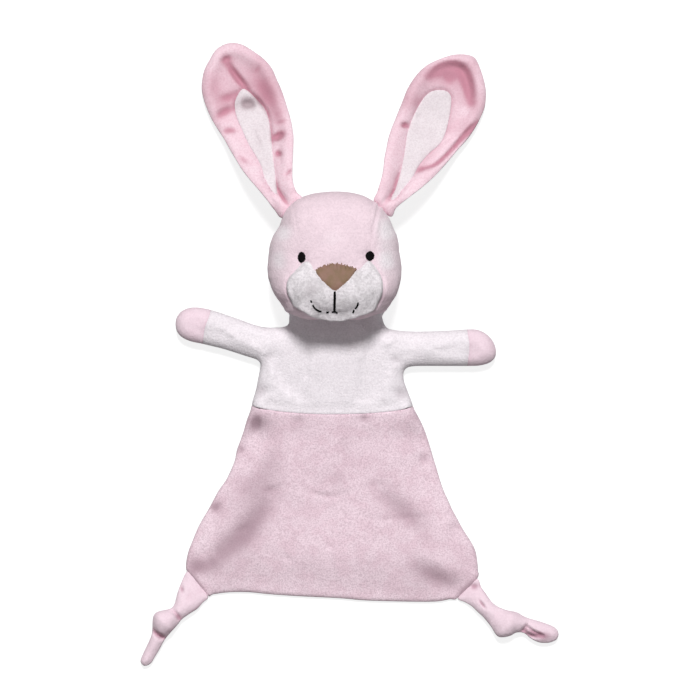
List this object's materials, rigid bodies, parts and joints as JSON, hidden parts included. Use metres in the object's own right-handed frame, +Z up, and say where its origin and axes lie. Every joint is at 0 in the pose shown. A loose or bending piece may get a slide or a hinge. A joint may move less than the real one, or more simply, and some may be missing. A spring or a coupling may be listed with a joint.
{
  "type": "comfort blanket",
  "caption": "Comfort blanket with a stuffed rabbit's head, floppy ears and arms, and a two-layer velour blanket whose lower corners end in knotted tails",
  "frame": {"origin": "on the surface that the toy lies on, under the middle of the body's back panel", "axes": "+Y from the blanket's hem to the ears, +Z up off the surface out of the face, +X to the right as seen from above"},
  "size_m": [0.2262, 0.3435, 0.0563],
  "materials": {
    "pink_velour": "short pink velour, soft nap",
    "blanket_velour": "frosted pink fleece with a mottled nap",
    "white_velour": "white velour, soft nap",
    "filling": "loose polyester fibre",
    "nose_thread": "taupe satin stitch",
    "black_thread": "black satin stitch"
  },
  "bodies": {
    "torso": {"torso_front_panel": "white_velour", "torso_back_panel": "white_velour", "torso_stuffing": "filling"},
    "head": {"head_crown_gusset": "pink_velour", "head_side_left": "pink_velour", "head_side_right": "pink_velour", "head_back_left": "pink_velour", "head_back_right": "pink_velour", "muzzle": "white_velour", "head_stuffing": "filling", "nose": "nose_thread", "eye_left": "black_thread", "eye_right": "black_thread", "mouth_smile_stitch": "black_thread", "mouth_centre_stitch": "black_thread"},
    "ear_left": {"ear_left_back_panel": "pink_velour", "ear_left_front_panel": "pink_velour", "ear_left_inner_panel": "white_velour"},
    "ear_right": {"ear_right_back_panel": "pink_velour", "ear_right_front_panel": "pink_velour", "ear_right_inner_panel": "white_velour"},
    "arm_left": {"sleeve_left": "white_velour", "mitt_left": "pink_velour", "arm_left_stuffing": "filling"},
    "arm_right": {"sleeve_right": "white_velour", "mitt_right": "pink_velour", "arm_right_stuffing": "filling"},
    "blanket": {"blanket_front": "blanket_velour", "blanket_back": "blanket_velour"},
    "tail_left": {"tail_left": "pink_velour"},
    "tail_right": {"tail_right": "pink_velour"}
  },
  "joints": [
    {"name": "head_nod", "type": "hinge", "parent": "torso", "child": "head", "pos_m": [0, 0.03, 0.007], "axis": [1, 0, 0], "range_deg": [-45, 35]},
    {"name": "ear_left_fold", "type": "hinge", "parent": "head", "child": "ear_left", "pos_m": [-0.0263, 0.0925, 0.025], "axis": [0.8541, 0.5201, 0], "range_deg": [-45, 90]},
    {"name": "ear_right_fold", "type": "hinge", "parent": "head", "child": "ear_right", "pos_m": [0.0299, 0.0896, 0.025], "axis": [0.8, -0.6, 0], "range_deg": [-45, 90]},
    {"name": "arm_left_lift", "type": "hinge", "parent": "torso", "child": "arm_left", "pos_m": [-0.0423, 0.015, 0.0067], "axis": [0, 1, 0], "range_deg": [-60, 80]},
    {"name": "arm_right_lift", "type": "hinge", "parent": "torso", "child": "arm_right", "pos_m": [0.0421, 0.0135, 0.0067], "axis": [0, -1, 0], "range_deg": [-60, 80]},
    {"name": "blanket_fold", "type": "hinge", "parent": "torso", "child": "blanket", "pos_m": [0, -0.0225, 0.0021], "axis": [-1, 0, 0], "range_deg": [-90, 90]},
    {"name": "tail_left_fold", "type": "hinge", "parent": "blanket", "child": "tail_left", "pos_m": [-0.0762, -0.11826, 0.0019], "axis": [-0.6861, 0.7275, 0], "range_deg": [-75, 90]},
    {"name": "tail_right_fold", "type": "hinge", "parent": "blanket", "child": "tail_right", "pos_m": [0.07486, -0.12102, 0.0019], "axis": [-0.6572, -0.7537, 0], "range_deg": [-75, 90]}
  ]
}
